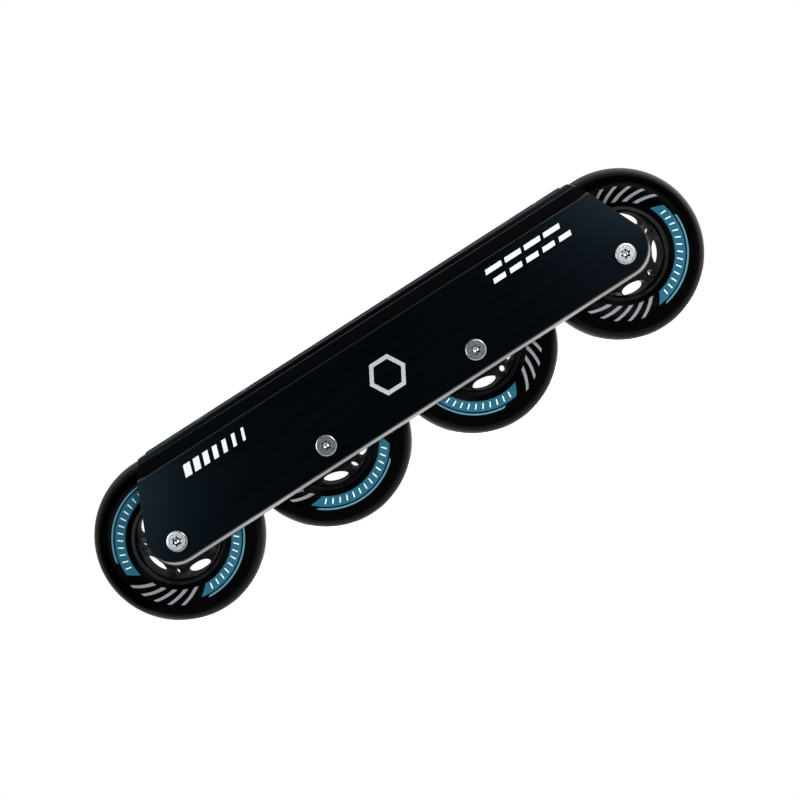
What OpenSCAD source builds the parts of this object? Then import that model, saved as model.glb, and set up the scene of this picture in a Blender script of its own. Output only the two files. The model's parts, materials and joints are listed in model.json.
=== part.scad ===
// Inline skate frame: an extruded chassis that carries four ball-bearing wheels in one line,
// each on a two-piece axle clamped through both side walls.
// X runs from heel to toe, Y across the frame and Z up. The near side is -Y.
// The origin is the middle of the deck's top face, where a boot is bolted on.

/* [Wheels] */
// Outer diameter of a tyre
wheel_d = 80; // [76:1:84]
// Gap between neighbouring tyres
wheel_gap = 1; // [0.6:0.2:4]
// Width of a tyre at its widest
tyre_w = 24; // [22:0.5:26]
// Width of a tyre where it meets the hub's rim
tyre_root_w = 20.8; // [20.2:0.2:22]
// Radial height of the rounded tread
tread_h = 10; // [8:0.5:12]
// Fullness of the tread's curve, 2 for an ellipse
tread_power = 2.2; // [1.8:0.1:3]

/* [Hubs] */
// Diameter of the rim that a tyre is cast on
hub_d = 44; // [42.5:0.5:47]
// Radial thickness of the rim
rim_t = 1.9; // [1.6:0.1:2.8]
// Width of the rim
rim_w = 20; // [16:0.5:20]
// Radial height of the rib that anchors the tyre
anchor_h = 3.5; // [2:0.5:5]
// Width of the anchor rib
anchor_w = 8; // [5:0.5:12]
// Radial thickness of the barrel round the bearings
barrel_t = 2.6; // [1.6:0.1:2.8]
// Radial height of the stop between the two bearings
stop_h = 1.4; // [0.8:0.1:1.8]
// Depth of the spoked web across the wheel
web_w = 16.4; // [9:0.2:17]
// Size of the fillets where the web meets the barrel and the rim
web_fillet = 0.8; // [0.4:0.1:1.2]
// Number of openings in the web
opening_count = 5; // [3:1:5]
// Length of an opening round the hub
opening_l = 12.6; // [8:0.1:13.5]
// Height of an opening along the radius
opening_h = 5.5; // [3:0.1:6]
// Width of the small hole in each spoke
spoke_hole_w = 2.8; // [1.2:0.1:3]
// Height of the small hole in each spoke
spoke_hole_h = 4.4; // [1.5:0.1:4.6]

/* [Bearings] */
// Outer diameter of a bearing
bearing_d = 22; // [21.5:0.1:22.4]
// Bore of a bearing
bearing_bore = 8; // [7.6:0.1:8.6]
// Width of a bearing
bearing_w = 7; // [6.8:0.1:8]
// Diameter of a ball
ball_d = 3.97; // [3.6:0.01:4.2]
// Number of balls in a bearing
ball_count = 7; // [5:1:8]
// Radial gap between the lands of the two races
land_gap = 3; // [2.6:0.1:3.4]
// Thickness of a shield
shield_t = 0.3; // [0.2:0.05:0.4]
// Distance from a bearing's face in to its shields
shield_inset = 0.2; // [0.1:0.05:0.3]
// Radial step in the outer race that a shield is seated in
shield_step = 0.5; // [0.3:0.05:0.7]
// Radial thickness of a ball cage
cage_t = 1.5; // [1:0.1:1.8]
// Thickness of a cage's ring behind the balls
cage_back = 0.55; // [0.3:0.05:0.7]
// How far a cage's prongs reach past the middle of the balls
cage_prong = 1.3; // [0.8:0.1:1.6]
// Length of the spacer between the two inner races
spacer_l = 10; // [8:0.5:12]
// Outer diameter of the spacer
spacer_d = 10.6; // [9.6:0.1:11.4]

/* [Axles] */
// Diameter of an axle bolt's shank
bolt_d = 6; // [5:0.1:6.4]
// Length of an axle bolt under its head
bolt_l = 22; // [16:0.5:26]
// Diameter of the heads on both ends of an axle
head_d = 10; // [9.6:0.1:12]
// Height of the heads
head_h = 2; // [1.4:0.1:3]
// Radius of the heads' rounded edges
head_edge = 0.6; // [0.2:0.1:0.9]
// Diameter of the six-lobed socket across its lobes
lobe_d = 4.5; // [4.1:0.1:5]
// Diameter of the socket across the valleys between its lobes
valley_d = 3.2; // [2.6:0.1:3.5]
// Radius of the valleys
valley_r = 1; // [0.7:0.1:1.2]
// Depth of the socket
socket_depth = 2.2; // [1.2:0.1:2.6]
// Thickness of the washers between the bearings and the walls
washer_t = 2; // [1.6:0.1:3]
// Outer diameter of the washers
washer_d = 11; // [10:0.1:11.4]
// How far a sleeve's end stops short of the near wall's face
sleeve_short = 0.6; // [0.3:0.1:2]

/* [Chassis] */
// Thickness of a side wall
wall_t = 4.5; // [3.5:0.1:6]
// Height of the deck's top above the tyres
deck_rise = 1; // [0.5:0.5:4]
// Thickness of the deck
deck_t = 5; // [4:0.5:7]
// Radius of the fillets under the deck
deck_fillet = 3; // [1:0.5:4]
// Depth of the walls below the axle line
wall_drop = 11.4; // [9:0.1:13]
// Radius of the walls' lower ends, and their reach past the end axles
end_r = 13.2; // [9:0.1:14]
// Lean of the slanted end edges from upright, in degrees
end_lean = 24.4; // [15:0.2:30]
// Distance from the deck's top down to the walls' shoulder
shoulder_drop = 8.2; // [7:0.1:10]
// Depth of the groove between the shoulder and the deck's flange
groove_depth = 2; // [0.8:0.1:2.4]
// Thickness of the deck's flange
flange_t = 3; // [2:0.1:4]
// Distance from the walls' faces in to the flange's edge
flange_inset = 0.5; // [0.2:0.1:0.8]
// Distance by which the deck's top stops short of the end axles
deck_setback = 5.5; // [3:0.5:10]
// Size of the chamfer at the deck's ends
deck_chamfer = 2; // [0.5:0.5:3]
// Size of the bevel along the walls' lower outer edges
bevel = 1.7; // [1:0.1:2.6]
// Share of the bevel's size that it keeps at the tips of the ends
bevel_wrap = 0.35; // [0.1:0.05:0.6]
// Size of the broken edges along the shoulder and the flange
edge_break = 0.5; // [0.2:0.1:0.7]
// Clearance between a tyre and the ends of its slot in the deck
slot_gap = 1.5; // [1:0.1:3]
// Width of the ledge that the deck leaves along each side of a slot
slot_ledge = 2; // [1:0.1:3]
// Corner radius of the slots
slot_r = 6; // [3:0.5:8]

/* [Boot mounting] */
// Distance between the two mounting holes
mount_pitch = 167; // [162:0.5:172]
// Diameter of the mounting holes
mount_hole_d = 6.4; // [5.5:0.1:7]
// Diameter of the counterbores under the deck
counterbore_d = 13; // [10:0.5:14]
// Depth of the counterbores
counterbore_depth = 2; // [0.5:0.1:2.8]

/* [Fits] */
// Radial gap in a press fit
press_gap = 0.02; // [0.01:0.01:0.05]
// Radial gap between an axle sleeve and what it passes through
axle_gap = 0.05; // [0.02:0.01:0.1]
// Radial gap between a bolt's shank and its sleeve
thread_gap = 0.05; // [0.02:0.01:0.15]
// Gap between the balls and the races' grooves
ball_gap = 0.06; // [0.04:0.01:0.1]
// Gap between the balls and the cage's pockets
pocket_gap = 0.08; // [0.04:0.01:0.15]
// Gap between a shield and the inner race
shield_gap = 0.3; // [0.2:0.05:0.5]

/* [Hidden] */
$fn = 72;
wheel_count = 4;

// The turn at which each wheel came to rest, as the angle of one of its openings
wheel_turn = [-90, -107, -103, -100];

// Wheel and axle places
wheel_r = wheel_d / 2;
axle_pitch = wheel_d + wheel_gap;
axle_z = -(wheel_r + deck_rise);
end_axle_x = axle_pitch * (wheel_count - 1) / 2;

// Widths across the frame, from the bearings outwards
hub_w = 2 * bearing_w + spacer_l;
inner_y = hub_w / 2 + washer_t;
outer_y = inner_y + wall_t;

// Radii of a wheel
side_r = wheel_r - tread_h;
hub_r = hub_d / 2;
rim_inner_r = hub_r - rim_t;
anchor_r = hub_r + anchor_h;
seat_r = bearing_d / 2 + press_gap;
stop_r = bearing_d / 2 - stop_h;
barrel_r = seat_r + barrel_t;
web_mid_r = (barrel_r + rim_inner_r) / 2;

// Radii and offsets of a bearing
ball_r = ball_d / 2;
pitch_r = (bearing_d + bearing_bore) / 4;
inner_land_r = pitch_r - land_gap / 2;
outer_land_r = pitch_r + land_gap / 2;
shield_seat_r = outer_land_r + shield_step;
shield_s = bearing_w / 2 - shield_inset;
bearing_mid = (spacer_l + bearing_w) / 2;
race_chamfer = 0.3;

// Axle sizes that follow the bearings
sleeve_r = bearing_bore / 2 - axle_gap;
axle_hole_r = bearing_bore / 2;
bolt_tip = outer_y - bolt_l;
bore_run_out = 3;
tip_chamfer = 0.6;
lobe_count = 6;

// Chassis heights, measured from the deck's top
shoulder_z = -shoulder_drop;
deck_under_z = -deck_t;
wall_low_z = axle_z - wall_drop;
end_arc_z = wall_low_z + end_r;
cut_past = 1;

// Points on an arc from angle a0 to a1, in n steps
function arc(x, y, r, a0, a1, n) =
    [for (k = [0 : n]) let (a = a0 + (a1 - a0) * k / n) [x + r * cos(a), y + r * sin(a)]];

function mirrored(points) = [for (k = [len(points) - 1 : -1 : 0]) [-points[k][0], points[k][1]]];

function flipped(points) = [for (k = [len(points) - 1 : -1 : 0]) [points[k][0], -points[k][1]]];

// Lays a turned piece, drawn about its own Z axis, on the axle of wheel i with +Z to the near side
module on_axle(i) {
    translate([(i - (wheel_count - 1) / 2) * axle_pitch, 0, axle_z])
        rotate([90, 0, 0])
            children();
}

// Draws a bearing's piece at both bearing seats, the far one mirrored
module at_both_seats() {
    for (side = [0, 1])
        mirror([0, 0, side])
            translate([0, 0, bearing_mid])
                children();
}

// Draws a piece once for each ball of a bearing
module at_each_ball() {
    for (k = [0 : ball_count - 1])
        rotate(k * 360 / ball_count)
            translate([pitch_r, 0, 0])
                children();
}

module ring(outer, inner, length) {
    difference() {
        cylinder(r = outer, h = length, center = true);
        cylinder(r = inner, h = length + cut_past, center = true);
    }
}

// An oval hole through the whole web, l along X and h along Y
module oval_cut(l, h) {
    linear_extrude(height = hub_w, center = true)
        polygon([for (a = [0 : 10 : 350]) [l / 2 * cos(a), h / 2 * sin(a)]]);
}

// Side outline of the walls and deck: the toe end, then the heel end mirrored
function side_outline() =
    let (
        tangent_x = end_axle_x + end_r * cos(end_lean),
        tangent_z = end_arc_z + end_r * sin(end_lean),
        shoulder_x = tangent_x - (shoulder_z - tangent_z) * tan(end_lean),
        deck_end_x = end_axle_x - deck_setback,
        toe = concat(
            arc(end_axle_x, end_arc_z, end_r, -90, end_lean, 24),
            [
                [shoulder_x, shoulder_z],
                [deck_end_x + deck_chamfer, -deck_chamfer],
                [deck_end_x - cut_past, cut_past]
            ]
        )
    )
    concat(toe, mirrored(toe));

// Cross-section of the extrusion, open at the bottom
module cross_section() {
    low = wall_low_z - cut_past;
    groove_y = outer_y - groove_depth;
    flange_y = outer_y - flange_inset;
    outside = [
        [inner_y, low],
        [outer_y, low],
        [outer_y, shoulder_z - edge_break],
        [outer_y - edge_break, shoulder_z],
        [groove_y, shoulder_z],
        [groove_y, -flange_t],
        [flange_y, -flange_t],
        [flange_y, -edge_break],
        [flange_y - edge_break, 0]
    ];
    fillet = arc(inner_y - deck_fillet, deck_under_z - deck_fillet, deck_fillet, 90, 0, 6);
    polygon(concat(outside, mirrored(outside), mirrored(fillet), fillet));
}

// What the bevel takes off the toe half of the near wall. The outline is carried upwards and inwards as it
// goes outwards, so the bevel is widest along the bottom and runs out above the tip.
module bevel_cut() {
    start_y = outer_y - bevel;
    turn = atan(bevel_wrap);
    lean = atan(cos(turn));
    length = end_axle_x + end_r + cut_past;
    low = wall_low_z - cut_past;
    outline = [for (p = side_outline()) [
        p[0] * cos(turn) + p[1] * sin(turn),
        (p[1] * cos(turn) - p[0] * sin(turn)) * sin(lean) - start_y * cos(lean)
    ]];
    difference() {
        translate([0, -outer_y - cut_past, low])
            cube([length, bevel + cut_past, shoulder_z - low]);
        rotate([lean, -turn, 0])
            linear_extrude(height = 4 * wheel_d, center = true)
                polygon(outline);
    }
}

// The opening in the deck over wheel i. The end ones run out through the deck's ends.
module wheel_slot(i) {
    middle = (i - (wheel_count - 1) / 2) * axle_pitch;
    under = deck_under_z - axle_z;
    half_l = sqrt(pow(wheel_r + slot_gap, 2) - pow(under, 2));
    run_out = end_r + deck_fillet;
    x0 = i == 0 ? middle - half_l - run_out : middle - half_l;
    x1 = i == wheel_count - 1 ? middle + half_l + run_out : middle + half_l;
    y = inner_y - slot_ledge;
    corner = concat(
        arc(x1 - slot_r, slot_r - y, slot_r, -90, 0, 6),
        arc(x1 - slot_r, y - slot_r, slot_r, 0, 90, 6),
        arc(x0 + slot_r, y - slot_r, slot_r, 90, 180, 6),
        arc(x0 + slot_r, slot_r - y, slot_r, 180, 270, 6)
    );
    translate([0, 0, deck_under_z - deck_fillet - cut_past])
        linear_extrude(height = deck_t + deck_fillet + 2 * cut_past)
            polygon(corner);
}

module chassis() {
    length = 2 * (end_axle_x + end_r) + 2 * cut_past;
    color([0.05, 0.055, 0.065])
        difference() {
            intersection() {
                rotate([90, 0, 90])
                    linear_extrude(height = length, center = true)
                        cross_section();
                rotate([90, 0, 0])
                    linear_extrude(height = 2 * outer_y + 2 * cut_past, center = true)
                        polygon(side_outline());
            }
            for (side = [0, 1])
                for (end = [0, 1])
                    mirror([end, 0, 0])
                        mirror([0, side, 0])
                            bevel_cut();
            for (i = [0 : wheel_count - 1]) {
                wheel_slot(i);
                on_axle(i)
                    cylinder(r = axle_hole_r, h = 2 * outer_y + 2 * cut_past, center = true);
            }
            for (side = [-1, 1])
                translate([side * mount_pitch / 2, 0, 0]) {
                    translate([0, 0, -deck_t - cut_past])
                        cylinder(d = mount_hole_d, h = deck_t + 2 * cut_past);
                    translate([0, 0, -deck_t - cut_past])
                        cylinder(d = counterbore_d, h = counterbore_depth + cut_past);
                }
        }
}

// Cast tyre: its sides bulge from the rim out to the tread, and a groove holds the hub's anchor rib
module tyre() {
    root = hub_r + press_gap;
    groove_r = anchor_r + press_gap;
    groove_w = anchor_w / 2 + press_gap;
    bulge = (tyre_w - tyre_root_w) / 2;
    side_steps = 6;
    tread_steps = 14;
    near = concat(
        [[groove_r, groove_w], [root, groove_w]],
        [for (k = [0 : side_steps - 1]) let (t = k / side_steps)
            [root + (side_r - root) * t, tyre_root_w / 2 + bulge * sin(90 * t)]],
        [for (k = [0 : tread_steps - 1]) let (a = 90 * k / tread_steps)
            [side_r + tread_h * pow(sin(a), 2 / tread_power), tyre_w / 2 * pow(cos(a), 2 / tread_power)]]
    );
    color([0.07, 0.07, 0.075])
        rotate_extrude()
            polygon(concat(near, [[wheel_r, 0]], flipped(near)));
}

// Moulded hub: bearing barrel, spoked web and rim with its anchor rib
module hub() {
    near = [
        [stop_r, spacer_l / 2],
        [seat_r, spacer_l / 2],
        [seat_r, hub_w / 2],
        [barrel_r, hub_w / 2],
        [barrel_r, web_w / 2 + web_fillet],
        [barrel_r + web_fillet, web_w / 2],
        [rim_inner_r - web_fillet, web_w / 2],
        [rim_inner_r, web_w / 2 + web_fillet],
        [rim_inner_r, rim_w / 2],
        [hub_r, rim_w / 2],
        [hub_r, anchor_w / 2],
        [anchor_r, anchor_w / 2]
    ];
    color([0.09, 0.09, 0.1])
        difference() {
            rotate_extrude()
                polygon(concat(near, flipped(near)));
            for (k = [0 : opening_count - 1])
                rotate(k * 360 / opening_count) {
                    translate([web_mid_r, 0, 0])
                        oval_cut(opening_h, opening_l);
                    rotate(180 / opening_count)
                        translate([web_mid_r, 0, 0])
                            oval_cut(spoke_hole_h, spoke_hole_w);
                }
        }
}

// The groove that a bearing's balls run in
module ball_groove() {
    rotate_extrude()
        translate([pitch_r, 0])
            circle(r = ball_r + ball_gap);
}

module outer_races() {
    outer = bearing_d / 2;
    half = bearing_w / 2;
    seat_s = shield_s - shield_t;
    section = [
        [outer_land_r, -seat_s],
        [shield_seat_r, -seat_s],
        [shield_seat_r, -half],
        [outer - race_chamfer, -half],
        [outer, -half + race_chamfer]
    ];
    color([0.72, 0.73, 0.75])
        at_both_seats()
            difference() {
                rotate_extrude()
                    polygon(concat(section, flipped(section)));
                ball_groove();
            }
}

module inner_races() {
    bore = bearing_bore / 2;
    half = bearing_w / 2;
    section = [
        [bore, -half + race_chamfer],
        [bore + race_chamfer, -half],
        [inner_land_r, -half]
    ];
    color([0.72, 0.73, 0.75])
        at_both_seats()
            difference() {
                rotate_extrude()
                    polygon(concat(section, flipped(section)));
                ball_groove();
            }
}

// Two pressed-in cover rings to a bearing
module shields() {
    color([0.55, 0.56, 0.58])
        at_both_seats()
            for (side = [-1, 1])
                translate([0, 0, side * (shield_s - shield_t / 2)])
                    ring(shield_seat_r - press_gap, inner_land_r + shield_gap, shield_t);
}

module balls() {
    color([0.85, 0.86, 0.88])
        at_both_seats()
            at_each_ball()
                sphere(r = ball_r);
}

// Crown cages: a ring behind the balls whose prongs reach between them
module cages() {
    pocket_r = ball_r + pocket_gap;
    back = pocket_r + cage_back;
    color([0.8, 0.76, 0.66])
        at_both_seats()
            difference() {
                translate([0, 0, (cage_prong - back) / 2])
                    ring(pitch_r + cage_t / 2, pitch_r - cage_t / 2, back + cage_prong);
                at_each_ball()
                    sphere(r = pocket_r);
            }
}

module bearing_spacer() {
    color([0.6, 0.61, 0.63])
        ring(spacer_d / 2, bearing_bore / 2, spacer_l);
}

module washers() {
    color([0.6, 0.61, 0.63])
        for (side = [-1, 1])
            translate([0, 0, side * (hub_w + washer_t) / 2])
                ring(washer_d / 2, bearing_bore / 2, washer_t);
}

// Section of a low head on the near wall's face, down to a shank of radius r
function head_section(r) = concat(
    [[r, outer_y], [head_d / 2, outer_y]],
    arc(head_d / 2 - head_edge, outer_y + head_h - head_edge, head_edge, 0, 90, 4),
    [[0, outer_y + head_h]]
);

// Six-lobed socket: a round pocket with a rounded valley left standing between each two lobes
module socket_cut() {
    length = socket_depth + cut_past;
    translate([0, 0, outer_y + head_h - socket_depth])
        difference() {
            cylinder(d = lobe_d, h = length);
            for (k = [0 : lobe_count - 1])
                rotate((k + 0.5) * 360 / lobe_count)
                    translate([valley_d / 2 + valley_r, 0, -cut_past])
                        cylinder(r = valley_r, h = length + 2 * cut_past);
        }
}

module axle_bolt() {
    shank_r = bolt_d / 2;
    color([0.75, 0.76, 0.78])
        difference() {
            rotate_extrude()
                polygon(concat(
                    [[0, bolt_tip], [shank_r - tip_chamfer, bolt_tip], [shank_r, bolt_tip + tip_chamfer]],
                    head_section(shank_r)
                ));
            socket_cut();
        }
}

// The far half of an axle: drawn with its head to the near side, then turned over
module axle_sleeve() {
    open_end = sleeve_short - outer_y;
    bore_end = -(bolt_tip - bore_run_out);
    color([0.7, 0.71, 0.73])
        mirror([0, 0, 1])
            difference() {
                rotate_extrude()
                    polygon(concat([[0, open_end], [sleeve_r, open_end]], head_section(sleeve_r)));
                translate([0, 0, open_end - cut_past])
                    cylinder(d = bolt_d + 2 * thread_gap, h = bore_end - open_end + cut_past);
                socket_cut();
            }
}

chassis();
for (i = [0 : wheel_count - 1]) {
    on_axle(i) tyre();
    on_axle(i) rotate(wheel_turn[i]) hub();
    on_axle(i) outer_races();
    on_axle(i) shields();
    on_axle(i) balls();
    on_axle(i) cages();
    on_axle(i) inner_races();
    on_axle(i) bearing_spacer();
    on_axle(i) washers();
    on_axle(i) axle_sleeve();
    on_axle(i) axle_bolt();
}
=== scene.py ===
"""Dresses the solids of an inline skate frame with its finishes, prints and a plain studio."""

import json
import math

import bmesh
import bpy
from bpy.props import FloatProperty, FloatVectorProperty, IntProperty, PointerProperty
from bpy.types import NodeSocket, Operator, Panel, PropertyGroup
from mathutils import Matrix, Vector
from mathutils.geometry import intersect_point_line


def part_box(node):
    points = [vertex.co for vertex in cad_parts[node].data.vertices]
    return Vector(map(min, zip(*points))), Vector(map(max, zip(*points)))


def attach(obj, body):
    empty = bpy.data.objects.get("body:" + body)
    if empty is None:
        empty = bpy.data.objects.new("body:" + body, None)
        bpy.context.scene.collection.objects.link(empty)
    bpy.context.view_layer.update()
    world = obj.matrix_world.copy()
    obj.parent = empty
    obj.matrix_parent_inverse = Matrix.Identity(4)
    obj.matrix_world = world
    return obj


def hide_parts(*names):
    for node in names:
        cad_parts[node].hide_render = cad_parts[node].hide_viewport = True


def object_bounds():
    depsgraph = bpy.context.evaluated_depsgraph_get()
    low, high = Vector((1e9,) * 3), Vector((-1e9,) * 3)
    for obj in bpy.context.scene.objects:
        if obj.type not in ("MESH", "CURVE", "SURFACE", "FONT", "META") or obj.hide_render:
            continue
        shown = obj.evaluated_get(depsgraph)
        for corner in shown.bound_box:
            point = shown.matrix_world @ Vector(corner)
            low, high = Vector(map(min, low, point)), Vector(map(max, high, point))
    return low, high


bl_info = {
    "name": "Inline Skate Frame",
    "version": (1, 0, 0),
    "blender": (4, 5, 0),
    "location": "View3D > Sidebar > Skate Frame",
    "description": "Dresses an inline skate frame with its finishes, prints and a plain studio",
    "category": "Object",
}

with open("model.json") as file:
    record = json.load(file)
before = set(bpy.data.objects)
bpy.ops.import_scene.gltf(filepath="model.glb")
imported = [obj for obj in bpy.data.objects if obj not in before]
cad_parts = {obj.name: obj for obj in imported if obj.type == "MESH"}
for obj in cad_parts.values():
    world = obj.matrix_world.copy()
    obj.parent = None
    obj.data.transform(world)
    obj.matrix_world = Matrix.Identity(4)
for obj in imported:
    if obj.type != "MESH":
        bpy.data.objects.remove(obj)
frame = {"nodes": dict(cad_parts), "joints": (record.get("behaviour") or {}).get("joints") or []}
CAD_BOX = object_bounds()

MM = 0.001
# Points nearer to each other than this are one point
WELD = 0.001 * MM
WHEELS = (1, 2, 3, 4)
NEAR = -1
FAR = 1
AXLES = {joint["child"]: Vector(joint["pos_m"]) for joint in frame["joints"]}
WALL_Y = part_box("chassis")[1].y
HEAD_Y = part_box("axle_sleeve_1")[1].y
FLOOR_Z = CAD_BOX[0].z
TYRE_LOW, TYRE_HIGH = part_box("tyre_1")
TYRE_R = (TYRE_HIGH.z - TYRE_LOW.z) / 2
TYRE_W = TYRE_HIGH.y - TYRE_LOW.y


def linear(hex_colour):
    """Linear RGBA of an sRGB hex colour."""
    channels = [int(hex_colour[k : k + 2], 16) / 255 for k in (1, 3, 5)]
    return (*(c / 12.92 if c <= 0.04045 else ((c + 0.055) / 1.055) ** 2.4 for c in channels), 1.0)


def add_node(tree, kind, inputs=None, **settings):
    """Adds a node, makes its settings, and links or sets the inputs given by name or number."""
    node = tree.nodes.new(kind)
    for name, value in settings.items():
        setattr(node, name, value)
    for key, value in (inputs or {}).items():
        if isinstance(value, NodeSocket):
            tree.links.new(value, node.inputs[key])
        else:
            node.inputs[key].default_value = value
    return node


def length_property(name, description, default_mm):
    """A length that the user can change, given in millimetres."""
    return FloatProperty(
        name=name, description=description, default=default_mm * MM, min=0.0, unit="LENGTH", precision=5
    )


def angle_property(name, description, default_deg):
    """An angle that the user can change, given in degrees."""
    return FloatProperty(
        name=name, description=description, default=math.radians(default_deg), subtype="ANGLE"
    )


def colour_property(name, description, hex_colour):
    """A colour that the user can change, given as sRGB hex."""
    return FloatVectorProperty(
        name=name,
        description=description,
        default=linear(hex_colour),
        size=4,
        min=0.0,
        max=1.0,
        subtype="COLOR",
    )


class SKATE_PG_chassis(PropertyGroup):
    edge_width: length_property("Edge Width", "Width of the broken edges", 0.35)
    anodise: colour_property("Anodise", "Colour of the black dye in the oxide", "#010204")
    anodise_pale: colour_property("Anodise Pale", "Colour of the dye where it took less", "#030508")
    raw_metal: colour_property("Raw Metal", "Colour of the machined bevel", "#979694")
    film: length_property("Film", "Thickness of the printed marks", 0.08)
    ink: colour_property("Ink", "Colour of the printed rows", "#F4F4F2")
    ring_ink: colour_property("Ring Ink", "Colour of the printed ring", "#B7B7BA")
    row_bars: IntProperty(name="Row Bars", description="Slanted bars in the heel row", default=7, min=1)
    ring_width: length_property("Ring Width", "Width of the six-sided ring across its corners", 19)
    ring_stroke: length_property("Ring Stroke", "Width of the ring's line", 2.2)


class SKATE_PG_tyre(PropertyGroup):
    root_radius: length_property("Root Radius", "Radius where a tyre meets its rim", 22.02)
    root_width: length_property("Root Width", "Width of a tyre at its rim", 20.8)
    side_radius: length_property("Side Radius", "Radius where the side runs into the tread", 30)
    tread_power: FloatProperty(
        name="Tread Power", description="Fullness of the tread's curve", default=2.2, min=1.0
    )
    ground_radius: length_property("Ground Radius", "Radius from which the tread is ground matt", 36)
    urethane: colour_property("Urethane", "Colour of the cast tyre", "#010101")
    urethane_ground: colour_property("Ground Urethane", "Colour of the ground tread", "#020202")
    segments: IntProperty(name="Segments", description="Segments round a tyre", default=180, min=24)


class SKATE_PG_print(PropertyGroup):
    film: length_property("Film", "Thickness of the ink film", 0.1)
    teal: colour_property("Teal", "Colour of the broad arcs", "#1A5E70")
    blue: colour_property("Blue", "Colour of the thin arcs", "#528597")
    grey: colour_property("Grey", "Colour of the slanted bars", "#86878A")
    white: colour_property("White", "Colour of the scale marks", "#F2F4F5")


class SKATE_PG_hub(PropertyGroup):
    edge_width: length_property("Edge Width", "Width of the rounded edges", 0.2)
    edge_room: length_property("Edge Room", "Edges with less room than this beside them stay sharp", 0.45)
    nylon: colour_property("Nylon", "Colour of the moulded hub", "#040505")


class SKATE_PG_axle(PropertyGroup):
    head_radius: length_property("Head Radius", "Radius of the axle heads", 5)
    head_edge: length_property("Head Edge", "Radius of the heads' rounded edges", 0.6)
    lobe_radius: length_property("Lobe Radius", "Radius of the socket across its lobes", 2.25)
    valley_reach: length_property("Valley Reach", "Radius of the socket across its valleys", 1.6)
    valley_radius: length_property("Valley Radius", "Radius of a valley between two lobes", 1)
    socket_depth: length_property("Socket Depth", "Depth of the socket", 2.2)
    drill_radius: length_property("Drill Radius", "Radius of the drilled cone in the socket's floor", 1.3)
    ring_depth: length_property("Ring Depth", "Depth of the turned ring on a head's face", 0.12)
    # The sockets' colour is oil and painted shade together
    socket_oil_and_shade: colour_property("Oiled", "Colour of the sockets' oily walls", "#0C0C0D")
    zinc: colour_property("Zinc", "Colour of the zinc plating", "#959698")
    segments: IntProperty(name="Segments", description="Segments round a head", default=144, min=24)


class SKATE_PG_bearing(PropertyGroup):
    steel: colour_property("Steel", "Colour of the ground races", "#BFC1C4")
    shield: colour_property("Shield", "Colour of the pressed shields", "#9A9CA0")
    ball: colour_property("Ball", "Colour of the polished balls", "#D6D8DA")
    cage: colour_property("Cage", "Colour of the moulded cages", "#CFC6AE")
    spacer: colour_property("Spacer", "Colour of the turned spacers and washers", "#A6A8AB")


class SKATE_PG_stage(PropertyGroup):
    lens: FloatProperty(name="Lens", description="Focal length of the camera", default=76.3, unit="CAMERA")
    roll: angle_property("Roll", "Turn of the camera about its view", 32.69)
    floor_length: length_property("Floor Length", "Length of the oval floor", 520)
    floor_shift: length_property("Floor Shift", "Shift of the floor's middle towards the toe", 80)
    floor_width: length_property("Floor Width", "Width of the oval floor", 240)
    floor: colour_property("Floor", "Colour of the floor", "#F6F6F6")
    floor_glow: FloatProperty(
        name="Floor Glow", description="Light from below the floor", default=0.85, min=0.0
    )
    dome: FloatProperty(
        name="Dome", description="Brightness of the studio's walls and ceiling", default=1.7, min=0.0
    )
    box_power: FloatProperty(
        name="Box Power", description="Power of the soft boxes", default=5.0, unit="POWER"
    )
    box_size: length_property("Box Size", "Width of the soft boxes", 400)


def new_material(name):
    """A new material with its node tree and its shader."""
    made = bpy.data.materials.new(name)
    made.use_nodes = True
    return made, made.node_tree, made.node_tree.nodes["Principled BSDF"]


def set_sockets(shader, **values):
    """Sets the shader's sockets that are the same all over the surface."""
    for name, value in values.items():
        shader.inputs[name.replace("_", " ")].default_value = value


def mottle(tree, shader, pattern, low, high, rough_low, rough_high):
    """Runs a pattern from 0 to 1 into the shader's colour and roughness."""
    tint = add_node(tree, "ShaderNodeMix", {0: pattern, 6: low, 7: high}, data_type="RGBA")
    tree.links.new(tint.outputs[2], shader.inputs["Base Color"])
    rough = add_node(
        tree, "ShaderNodeMapRange", {"Value": pattern, "To Min": rough_low, "To Max": rough_high}
    )
    tree.links.new(rough.outputs[0], shader.inputs["Roughness"])


def relief(tree, shader, pattern, depth):
    """Bumps the surface by a pattern from 0 to 1, which stands for depth in metres."""
    bump = add_node(tree, "ShaderNodeBump", {"Height": pattern, "Distance": depth, "Strength": 1.0})
    tree.links.new(bump.outputs[0], shader.inputs["Normal"])


def speckle(tree, sizes, detail=2.0, turned=False):
    """Soft noise from 0 to 1 whose grains have these sizes in metres along the object's axes.

    On a turned mesh the first size is a share of the turn and the second a length along the profile.
    """
    if turned:
        place = add_node(tree, "ShaderNodeUVMap", uv_map="turned").outputs[0]
    else:
        place = add_node(tree, "ShaderNodeTexCoord").outputs["Object"]
    scale = tuple(1 / size for size in sizes)
    grid = add_node(tree, "ShaderNodeMapping", {"Vector": place, "Scale": scale})
    noise = add_node(tree, "ShaderNodeTexNoise", {"Vector": grid.outputs[0], "Scale": 1.0, "Detail": detail})
    # Most of the noise lies between these
    low, high = 0.3, 0.7
    spread = add_node(
        tree, "ShaderNodeMapRange", {"Value": noise.outputs[0], "From Min": low, "From Max": high}
    )
    return spread.outputs[0]


def black_anodised_aluminium(settings):
    """Extruded, etched and dyed black."""
    # The etched oxide is a deep satin black, and the die's lines run faintly along the extrusion.
    # The lines are about 0.1 mm apart on the real one, and are drawn 0.7 mm apart so that they show.
    made, tree, shader = new_material("black_anodised_aluminium")
    set_sockets(shader, IOR=1.45, Specular_IOR_Level=0.105, Specular_Tint=linear("#B8E8FF"))
    lines = speckle(tree, (60 * MM, 0.7 * MM, 0.7 * MM))
    mottle(tree, shader, lines, settings.anodise, settings.anodise_pale, 0.18, 0.2)
    return made


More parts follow.
